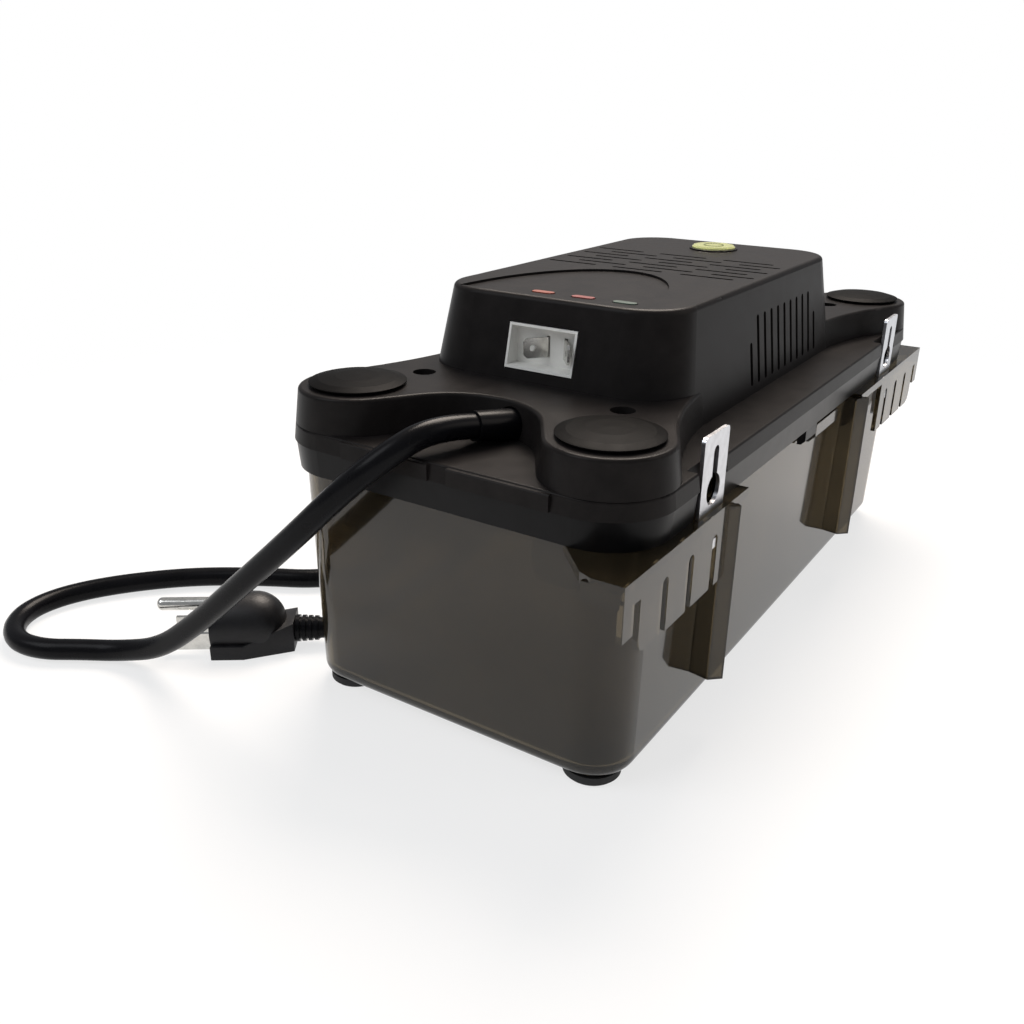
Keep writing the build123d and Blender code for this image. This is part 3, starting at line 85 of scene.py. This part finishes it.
# %% Lead the cord from the cover to the coil
cord_radius = 0.00385
cord_pitch = 2 * cord_radius
floor_level = cord_radius
gland_root = Vector((-0.107, -0.0055, 0.0972))
gland_way = Vector((-16.0, 6.0, 2.5)).normalized()
gland_tip = gland_root + gland_way * 0.015
cord_points = [
    gland_tip,
    gland_tip + gland_way * 0.014,
    (-0.1470, 0.0105, 0.0960),
    (-0.1545, 0.0215, 0.0850),
    (-0.1580, 0.0380, 0.0680),
    (-0.1600, 0.0605, 0.0470),
    (-0.1610, 0.0840, 0.0255),
    (-0.1625, 0.1040, 0.0096),
    (-0.1660, 0.1230, floor_level),
    (-0.1735, 0.1355, floor_level),
    (-0.1810, 0.1465, floor_level),
    (-0.1830, 0.1595, floor_level),
    (-0.1765, 0.1715, floor_level),
    (-0.1645, 0.1780, floor_level),
    (-0.1485, 0.1760, floor_level),
    (-0.1300, 0.1650, floor_level),
    (-0.1105, 0.1470, floor_level),
    (-0.0955, 0.1245, floor_level),
    (-0.0850, 0.1050, floor_level),
    (-0.0695, 0.0935, floor_level),
    (-0.0505, 0.0915, floor_level),
    (-0.0350, 0.1035, floor_level),
]
print("cord led through", len(cord_points), "points")

# %% [markdown]
# ## The spare length
# The length that isn't needed is wound into a flat coil behind the tank: three turns side
# by side on the floor, and the rest on top of them.  A short helper gives the radius and
# the height of the cord at any turn, so that no turn lies in another.

# %% Wind the coil
coil_middle = Vector((0.020, 0.124, 0.0))
turn_points = 16
turn_count = 4.75
# A curve led by 16 points a turn runs a little inside them.
lead_out = 1.0 / math.cos(math.pi / turn_points)


def eased(value, start, end):
    """0 before start, 1 after end, and smooth between."""
    share = min(1.0, max(0.0, (value - start) / (end - start)))
    return share * share * (3 - 2 * share)


def coil_radius(turned):
    """Radius of the coil after this many turns."""
    radius = 0.05005
    radius -= cord_pitch * eased(turned, 0.85, 1.0)
    radius -= cord_pitch * eased(turned, 1.85, 2.0)
    radius += cord_pitch * 0.5 * eased(turned, 2.85, 3.0)
    radius += cord_pitch * eased(turned, 3.85, 4.0)
    radius += cord_pitch * 0.5 * eased(turned, 4.3, 4.7)
    return radius


def coil_height(turned):
    """Height of the cord's middle after this many turns."""
    return cord_radius + cord_pitch * eased(turned, 2.68, 2.85)


for step in range(int(turn_points * turn_count) + 1):
    turned = step / turn_points
    angle = math.pi - 2 * math.pi * turned
    radius = coil_radius(turned) * lead_out
    cord_points.append(
        coil_middle + Vector((radius * math.cos(angle), radius * math.sin(angle), coil_height(turned)))
    )
print("coil of", turn_count, "turns")

# %% Lead the cord from the coil to the plug
plug_long = 0.029
relief_long = 0.009
plug_face = Vector((-0.1385, 0.1035, 0.0062))
plug_tail = Vector((0.591, -0.806, 0.0)).normalized()
relief_tip = plug_face + plug_tail * (plug_long + relief_long)
cord_points += [
    (0.0010, 0.0734, 0.0102),
    (-0.0180, 0.0719, 0.0066),
    (-0.0380, 0.0700, 0.0041),
    (-0.0600, 0.0683, 0.0039),
    (-0.0790, 0.0670, 0.0041),
    (-0.0950, 0.0662, 0.0049),
    (-0.1066, 0.0661, 0.0058),
    (-0.1104, 0.0673, 0.0062),
    relief_tip + plug_tail * 0.004,
    relief_tip,
]

cord_curve = bpy.data.curves.new("power_lead", "CURVE")
cord_curve.dimensions = "3D"
cord_curve.resolution_u = 10
cord_curve.bevel_depth = 1.0
cord_curve.bevel_resolution = 7
cord_curve.use_fill_caps = True
spline = cord_curve.splines.new("NURBS")
spline.points.add(len(cord_points) - 1)
for point, place in zip(spline.points, cord_points):
    point.co = (*place, 1.0)
    point.radius = cord_radius
spline.order_u = 3
spline.use_endpoint_u = True
power_lead = bpy.data.objects.new("power_lead", cord_curve)
bpy.context.collection.objects.link(power_lead)
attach(power_lead, "housing")
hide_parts("power_cord", "cord_coil", "plug_lead")
print("cord made of", len(cord_points), "points")

# %% [markdown]
# ## A helper for materials
# Moulded plastic is never one flat colour: it has a faint grain from the mould, tiny
# changes of gloss, and a little dust.  The helper builds one Principled shader with a
# noise that shifts the colour and another that lifts the surface.  All patterns read
# Object coordinates, so that they stay on the piece.

# %% Define the finish helper


def finish(
    name, colour, rough, fleck=0.15, fleck_size=0.004, grain=0.0, grain_size=0.0004, gleam=0.5, **inputs
):
    """One procedural finish: a colour that drifts a little, and a fine grain."""
    material = bpy.data.materials.new(name)
    material.use_nodes = True
    tree = material.node_tree
    links = tree.links
    shader = tree.nodes["Principled BSDF"]
    shader.inputs["Roughness"].default_value = rough
    shader.inputs["Specular IOR Level"].default_value = gleam
    for socket, value in inputs.items():
        shader.inputs[socket.replace("_", " ")].default_value = value
    where = tree.nodes.new("ShaderNodeTexCoord")
    drift = tree.nodes.new("ShaderNodeTexNoise")
    drift.inputs["Scale"].default_value = 1.0 / fleck_size
    drift.inputs["Detail"].default_value = 4.0
    links.new(where.outputs["Object"], drift.inputs["Vector"])
    tint = tree.nodes.new("ShaderNodeValToRGB")
    tint.color_ramp.elements[0].position = 0.3
    tint.color_ramp.elements[1].position = 0.7
    tint.color_ramp.elements[0].color = (*[channel * (1 - fleck) for channel in colour], 1)
    tint.color_ramp.elements[1].color = (*[min(1, channel * (1 + fleck)) for channel in colour], 1)
    links.new(drift.outputs["Fac"], tint.inputs["Fac"])
    links.new(tint.outputs["Color"], shader.inputs["Base Color"])
    gloss = tree.nodes.new("ShaderNodeMapRange")
    gloss.inputs["To Min"].default_value = rough * 0.85
    gloss.inputs["To Max"].default_value = min(1.0, rough * 1.15)
    links.new(drift.outputs["Fac"], gloss.inputs["Value"])
    links.new(gloss.outputs["Result"], shader.inputs["Roughness"])
    if grain:
        fine = tree.nodes.new("ShaderNodeTexNoise")
        fine.inputs["Scale"].default_value = 1.0 / grain_size
        fine.inputs["Detail"].default_value = 3.0
        links.new(where.outputs["Object"], fine.inputs["Vector"])
        bump = tree.nodes.new("ShaderNodeBump")
        bump.inputs["Strength"].default_value = grain
        bump.inputs["Distance"].default_value = 0.0001
        links.new(fine.outputs["Fac"], bump.inputs["Height"])
        links.new(bump.outputs["Normal"], shader.inputs["Normal"])
    return material


def wear(finish_material, *names):
    """Gives a finish to solids of the pump."""
    for name in names:
        for slot in nodes[name].material_slots:
            slot.material = finish_material
    print(finish_material.name, "on", ", ".join(names))


# %% [markdown]
# ## The smoky tank
# The tank is moulded in a clear plastic with a smoke tint, so that the water can be seen.
# Light goes in through one wall and out through the other, and each wall takes some of
# it.  A transmissive shader with a smoke colour does that.

# %% Make the tank's plastic
smoke = finish(
    "smoke_tank", (0.100, 0.079, 0.047), 0.06, fleck=0.25, fleck_size=0.045, gleam=0.20,
    IOR=1.49, Transmission_Weight=0.86
)
wear(smoke, "tank")

# %% [markdown]
# ## Black mouldings
# The lid, the cover and the caps are satin black, with a fine spark-eroded grain.  The
# caps are a touch rougher and darker, with less gleam.

# %% Make the black plastics
cover_black = finish(
    "cover_black", (0.0120, 0.0106, 0.0104), 0.36, fleck=0.18, fleck_size=0.006, grain=0.2, gleam=0.07
)
lid_black = finish(
    "lid_black", (0.0048, 0.0047, 0.0052), 0.30, fleck=0.18, fleck_size=0.006, grain=0.15, gleam=0.12
)
cap_black = finish("cap_black", (0.0028, 0.0026, 0.0026), 0.48, fleck=0.2, grain=0.2, gleam=0.03)
wear(cover_black, "motor_cover")
wear(lid_black, "lid_band", "lid")
wear(cap_black, "inlet_cap_1", "inlet_cap_2", "inlet_cap_3", "inlet_cap_4")

# %% Make the inner plastics
pump_black = finish("pump_black", (0.03, 0.03, 0.03), 0.5, grain=0.3, grain_size=0.0006)
wear(pump_black, "pump_housing", "intake_strainer", "impeller", "cooling_fan", "float_bracket",
     "discharge_pipe", "check_valve", "float_switch")
foam = finish(
    "float_foam", (0.07, 0.07, 0.07), 0.9, fleck=0.3, fleck_size=0.001, grain=1.0, grain_size=0.0008
)
wear(foam, "float_body")
natural = finish("natural_acetal", (0.72, 0.71, 0.66), 0.35, fleck=0.04)
wear(natural, "switch_pushrod", "valve_ball")
board_green = finish("board_green", (0.03, 0.12, 0.05), 0.3, fleck=0.3, fleck_size=0.002)
wear(board_green, "circuit_board")

# %% Make the rubber and the vinyl
foot_rubber = finish("foot_rubber", (0.018, 0.018, 0.018), 0.75, fleck=0.3, grain=0.5, grain_size=0.0008)
wear(foot_rubber, "rubber_feet")
vinyl = finish("cord_vinyl", (0.0040, 0.0040, 0.0050), 0.28, fleck=0.2, fleck_size=0.01, gleam=0.09)
wear(vinyl, "cord_gland", "plug_strain_relief")
power_lead.data.materials.append(vinyl)

# %% [markdown]
# ## Metals
# The hangers are zinc plated, which is bright with faint cloudy patches; the blades and
# the terminals are tinned.  Metals need a full metallic value and a low roughness.

# %% Make the metals
zinc = finish("zinc_plate", (0.60, 0.61, 0.64), 0.30, fleck=0.12, fleck_size=0.003, grain=0.2, Metallic=1.0)
wear(zinc, "hanger_plate_near", "hanger_plate_far", "float_pin", "leaf_pin", "motor_screws",
     "switch_leaf", "float_arm")
dark_screw = finish("dark_screw", (0.05, 0.05, 0.055), 0.4, Metallic=1.0)
wear(dark_screw, "cover_screws")
tinned = finish("tinned", (0.62, 0.61, 0.58), 0.22, fleck=0.1, fleck_size=0.002, grain=0.1, Metallic=1.0)
wear(tinned, "spade_terminals", "plug_blades", "plug_ground_pin")
core_iron = finish(
    "core_iron", (0.20, 0.20, 0.21), 0.5, fleck=0.25, fleck_size=0.002, grain=0.4, Metallic=0.9
)
wear(core_iron, "motor_stack", "rotor_shaft")
bridge_alloy = finish("bridge_alloy", (0.50, 0.50, 0.50), 0.5, grain=0.5, grain_size=0.0007, Metallic=1.0)
wear(bridge_alloy, "upper_bearing_bridge", "lower_bearing_bridge")
winding_tape = finish("winding_tape", (0.62, 0.48, 0.12), 0.55, fleck=0.2, fleck_size=0.001, grain=0.5)
wear(winding_tape, "motor_winding")

# %% [markdown]
# ## Small bright pieces
# The terminal block is off-white, the level is a yellow-green liquid under a clear top,
# and the three lights are tinted lenses that aren't lit.

# %% Make the block, the level and the lights
block_white = finish("block_white", (0.78, 0.775, 0.74), 0.45, fleck=0.04, grain=0.2)
wear(block_white, "terminal_block")
level_green = finish("level_green", (0.70, 0.74, 0.33), 0.12, fleck=0.06, Transmission_Weight=0.25)
wear(level_green, "level_vial")
bubble = finish("bubble", (0.90, 0.95, 0.55), 0.08, fleck=0.02)
wear(bubble, "level_bubble")
wear(finish("amber_lens", (0.26, 0.055, 0.03), 0.4, fleck=0.15, fleck_size=0.001), "amber_light")
wear(finish("red_lens", (0.22, 0.035, 0.03), 0.4, fleck=0.15, fleck_size=0.001), "red_light")
wear(finish("green_lens", (0.045, 0.08, 0.062), 0.4, fleck=0.15, fleck_size=0.001), "green_light")

# %% [markdown]
# ## Shaping pieces by hand
# The pieces below start as a primitive and are shaped in edit mode, as with the mouse.
# Each step needs some corners, edges or faces selected.  This helper selects them by
# where they lie, and the next one puts a finished piece in its place on the pump.

# %% Define the modelling helpers


def pick(piece, kind, test):
    """In edit mode, selects the corners, edges or faces whose middle passes a test."""
    bpy.ops.mesh.select_mode(type={"corners": "VERT", "edges": "EDGE", "faces": "FACE"}[kind])
    bpy.ops.mesh.select_all(action="DESELECT")
    bpy.ops.object.mode_set(mode="OBJECT")
    mesh = piece.data
    if kind == "corners":
        for corner in mesh.vertices:
            corner.select = test(corner.co)
    elif kind == "edges":
        for edge in mesh.edges:
            ends = [mesh.vertices[index].co for index in edge.vertices]
            edge.select = all(test(end) for end in ends)
    else:
        for face in mesh.polygons:
            face.select = test(face.center)
    bpy.ops.object.mode_set(mode="EDIT")


def apply_here():
    """Writes the active piece's place, turn and scale into its mesh."""
    bpy.ops.object.transform_apply(location=True, rotation=True, scale=True)


def round_edges(piece, width, steps=2, from_angle=40):
    """Rounds a piece's sharp edges and shades the rest smooth."""
    bevel = piece.modifiers.new("edge_round", "BEVEL")
    bevel.width = width
    bevel.segments = steps
    bevel.limit_method = "ANGLE"
    bevel.angle_limit = math.radians(from_angle)
    bpy.ops.object.modifier_apply(modifier=bevel.name)
    bpy.ops.object.shade_smooth_by_angle(angle=math.radians(35))


# %% [markdown]
# ## The plug
# The plug is moulded on the cord.  It has a flat foot that narrows and thickens toward the
# cord, and over it a rounded grip with a domed end, like a thumb.  The foot is a block
# whose far corners are moved; the grip is half a ball whose rim is drawn out to the face.
# Both are shaped lying along Y, and then turned to where the plug rests on the floor.

# %% Shape the plug's foot
plug_wide, plug_foot_high = 0.0242, 0.0054
plug_tail_wide, plug_tail_high = 0.013, 0.0114
bpy.ops.object.select_all(action="DESELECT")
bpy.ops.mesh.primitive_cube_add(size=1.0, location=(0, plug_long / 2, plug_foot_high / 2))
plug_foot = bpy.context.active_object
plug_foot.scale = (plug_wide, plug_long, plug_foot_high)
apply_here()
bpy.ops.object.mode_set(mode="EDIT")
bpy.ops.mesh.select_all(action="SELECT")
bpy.ops.mesh.bisect(plane_co=(0, 0.4 * plug_long, 0), plane_no=(0, 1, 0))
pick(plug_foot, "corners", lambda co: co.y > plug_long - 1e-5)
bpy.ops.transform.resize(value=(plug_tail_wide / plug_wide, 1, 1), center_override=(0, plug_long, 0))
pick(plug_foot, "corners", lambda co: co.y > plug_long - 1e-5 and co.z > 1e-5)
bpy.ops.transform.translate(value=(0, 0, plug_tail_high - plug_foot_high))
bpy.ops.object.mode_set(mode="OBJECT")
print("plug foot", len(plug_foot.data.polygons), "faces")

# %% Shape the plug's grip
grip_radius, grip_straight, grip_axis = 0.01125, 0.0145, 0.00925
bpy.ops.object.select_all(action="DESELECT")
bpy.ops.mesh.primitive_uv_sphere_add(
    segments=48, ring_count=24, radius=grip_radius, location=(0, 0, 0), rotation=(math.pi / 2, 0, 0)
)
plug_grip = bpy.context.active_object
apply_here()
bpy.ops.object.mode_set(mode="EDIT")
pick(plug_grip, "corners", lambda co: co.y < -1e-5)
bpy.ops.mesh.delete(type="VERT")
pick(plug_grip, "edges", lambda co: abs(co.y) < 1e-5)
bpy.ops.mesh.extrude_region_move(TRANSFORM_OT_translate={"value": (0, -grip_straight, 0)})
bpy.ops.mesh.edge_face_add()
bpy.ops.mesh.select_all(action="SELECT")
bpy.ops.transform.translate(value=(0, grip_straight, grip_axis))
bpy.ops.mesh.bisect(plane_co=(0, 0, 0.002), plane_no=(0, 0, 1), use_fill=True, clear_inner=True)
bpy.ops.mesh.select_all(action="SELECT")
bpy.ops.mesh.normals_make_consistent(inside=False)
bpy.ops.object.mode_set(mode="OBJECT")
print("plug grip", len(plug_grip.data.polygons), "faces")

# %% Join the plug and lay it on the floor
bpy.ops.object.select_all(action="DESELECT")
plug_grip.select_set(True)
plug_foot.select_set(True)
bpy.context.view_layer.objects.active = plug_foot
bpy.ops.object.join()
plug_moulding = bpy.context.active_object
plug_moulding.name = "plug_moulding"
round_edges(plug_moulding, 0.0006)
plug_across = plug_tail.cross(Vector((0, 0, 1)))
plug_turn = Matrix((plug_across, plug_tail, Vector((0, 0, 1)))).transposed()
plug_moulding.matrix_world = Matrix.Translation((plug_face.x, plug_face.y, 0)) @ plug_turn.to_4x4()
apply_here()
plug_vinyl = finish(
    "plug_vinyl", (0.010, 0.010, 0.0115), 0.42, fleck=0.2, fleck_size=0.004, grain=0.5, grain_size=0.0006,
    gleam=0.25
)
plug_moulding.data.materials.clear()
plug_moulding.data.materials.append(plug_vinyl)
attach(plug_moulding, "housing")
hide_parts("plug_body")
print("plug moulding", len(plug_moulding.data.polygons), "faces")

# %% [markdown]
# ## Rings on the level
# The round level has a printed ring that the bubble is centred in, and a thin bezel
# where it comes out of the hood.  A ring is a circle whose edge is drawn inward and then
# up, so one helper makes both.

# %% Make the level's rings


def level_ring(name, outer, inner, low, high, material):
    """A flat ring on the level's axis, between two heights."""
    bpy.ops.object.select_all(action="DESELECT")
    bpy.ops.mesh.primitive_circle_add(vertices=72, radius=outer, location=(level_middle_x, 0, low))
    ring = bpy.context.active_object
    ring.name = name
    apply_here()
    bpy.ops.object.mode_set(mode="EDIT")
    bpy.ops.mesh.select_all(action="SELECT")
    bpy.ops.mesh.extrude_region_move()
    share = inner / outer
    bpy.ops.transform.resize(value=(share, share, 1), center_override=(level_middle_x, 0, low))
    bpy.ops.mesh.select_all(action="SELECT")
    bpy.ops.mesh.extrude_region_move(TRANSFORM_OT_translate={"value": (0, 0, high - low)})
    bpy.ops.mesh.select_all(action="SELECT")
    bpy.ops.mesh.normals_make_consistent(inside=False)
    bpy.ops.object.mode_set(mode="OBJECT")
    round_edges(ring, min(outer - inner, high - low) * 0.25)
    ring.data.materials.append(material)
    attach(ring, "housing")
    print(name, len(ring.data.polygons), "faces")
    return ring


level_low, level_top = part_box("level_vial")
level_middle_x = (level_low[0] + level_top[0]) / 2
hood_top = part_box("motor_cover")[1][2]
ring_ink = finish("ring_ink", (0.10, 0.13, 0.03), 0.4, fleck=0.1)
level_ring("level_mark", 0.0042, 0.0036, level_top[2] - 0.0001, level_top[2] + 0.00015, ring_ink)
level_ring("level_bezel", 0.0097, 0.00885, hood_top - 0.0002, hood_top + 0.0006, cover_black)

# %% [markdown]
# ## The studio
# A white floor that keeps the shadow near the pump and fades to plain white further out
# needs no horizon.  Light Path tells camera rays from the others, so the backdrop can be
# white without throwing more light.

# %% Make the floor and the world
bpy.ops.mesh.primitive_plane_add(size=8.0, location=(0, 0, -0.0002))
floor = bpy.context.active_object
floor.name = "studio_floor"
bpy.ops.object.transform_apply(location=True, rotation=True, scale=True)
paper = bpy.data.materials.new("studio_paper")
paper.use_nodes = True
tree = paper.node_tree
shader = tree.nodes["Principled BSDF"]
shader.inputs["Base Color"].default_value = (0.86, 0.86, 0.86, 1)
shader.inputs["Roughness"].default_value = 0.9
glow = tree.nodes.new("ShaderNodeEmission")
glow.inputs["Color"].default_value = (1, 1, 1, 1)
mixer = tree.nodes.new("ShaderNodeMixShader")
where = tree.nodes.new("ShaderNodeTexCoord")
reach = tree.nodes.new("ShaderNodeVectorMath")
reach.operation = "LENGTH"
fade = tree.nodes.new("ShaderNodeMapRange")
fade.inputs["From Min"].default_value = 0.20
fade.inputs["From Max"].default_value = 0.50
fade.inputs["To Min"].default_value = 0.72
fade.inputs["To Max"].default_value = 1.0
path = tree.nodes.new("ShaderNodeLightPath")
seen = tree.nodes.new("ShaderNodeMath")
seen.operation = "MAXIMUM"
seen_all = tree.nodes.new("ShaderNodeMath")
seen_all.operation = "MAXIMUM"
share = tree.nodes.new("ShaderNodeMath")
share.operation = "MULTIPLY"
tree.links.new(where.outputs["Object"], reach.inputs[0])
tree.links.new(reach.outputs["Value"], fade.inputs["Value"])
tree.links.new(path.outputs["Is Camera Ray"], seen.inputs[0])
tree.links.new(path.outputs["Is Glossy Ray"], seen.inputs[1])
tree.links.new(seen.outputs[0], seen_all.inputs[0])
tree.links.new(path.outputs["Is Transmission Ray"], seen_all.inputs[1])
tree.links.new(fade.outputs["Result"], share.inputs[0])
tree.links.new(seen_all.outputs[0], share.inputs[1])
tree.links.new(share.outputs[0], mixer.inputs["Fac"])
tree.links.new(shader.outputs[0], mixer.inputs[1])
tree.links.new(glow.outputs[0], mixer.inputs[2])
tree.links.new(mixer.outputs[0], tree.nodes["Material Output"].inputs["Surface"])
floor.data.materials.append(paper)

world = bpy.data.worlds.new("studio_world")
bpy.context.scene.world = world
world.use_nodes = True
tree = world.node_tree
backdrop = tree.nodes["Background"]
backdrop.inputs["Color"].default_value = (1, 1, 1, 1)
sky = tree.nodes.new("ShaderNodeBackground")
sky.inputs["Color"].default_value = (0.92, 0.95, 1.0, 1)
sky.inputs["Strength"].default_value = 0.32
mixer = tree.nodes.new("ShaderNodeMixShader")
path = tree.nodes.new("ShaderNodeLightPath")
tree.links.new(path.outputs["Is Camera Ray"], mixer.inputs["Fac"])
tree.links.new(sky.outputs[0], mixer.inputs[1])
tree.links.new(backdrop.outputs[0], mixer.inputs[2])
tree.links.new(mixer.outputs[0], tree.nodes["World Output"].inputs["Surface"])
print("studio made")

# %% [markdown]
# ## Lamps
# One large lamp stands high on the left, a weaker one lights the long side, and a third
# rims the far end.  Large lamps give the soft edges that satin plastic needs.

# %% Hang the lamps


def lamp(name, place, target, size, power, colour=(1, 1, 1)):
    """A square area lamp that points at a target."""
    bpy.ops.object.light_add(type="AREA", location=place)
    made = bpy.context.active_object
    made.name = name
    made.data.size = size
    made.data.energy = power
    made.data.color = colour
    aim = Vector(target) - Vector(place)
    made.rotation_euler = aim.to_track_quat("-Z", "Y").to_euler()
    return made


lamp("key_lamp", (-0.9, 0.6, 1.2), (0, 0, 0.08), 0.8, 7.0, (0.93, 0.96, 1.0))
lamp("side_lamp", (0.5, -1.2, 0.9), (0, 0, 0.06), 0.7, 2.5, (1.0, 0.90, 0.80))
lamp("top_lamp", (0.7, 0.3, 1.25), (0, 0, 0.1), 0.8, 34.0, (1.0, 0.89, 0.79))
print("lamps hung")

# %% [markdown]
# ## Finish
# The view keeps Blender's Standard look.

# %% Finish
bpy.context.scene.view_settings.view_transform = "Standard"
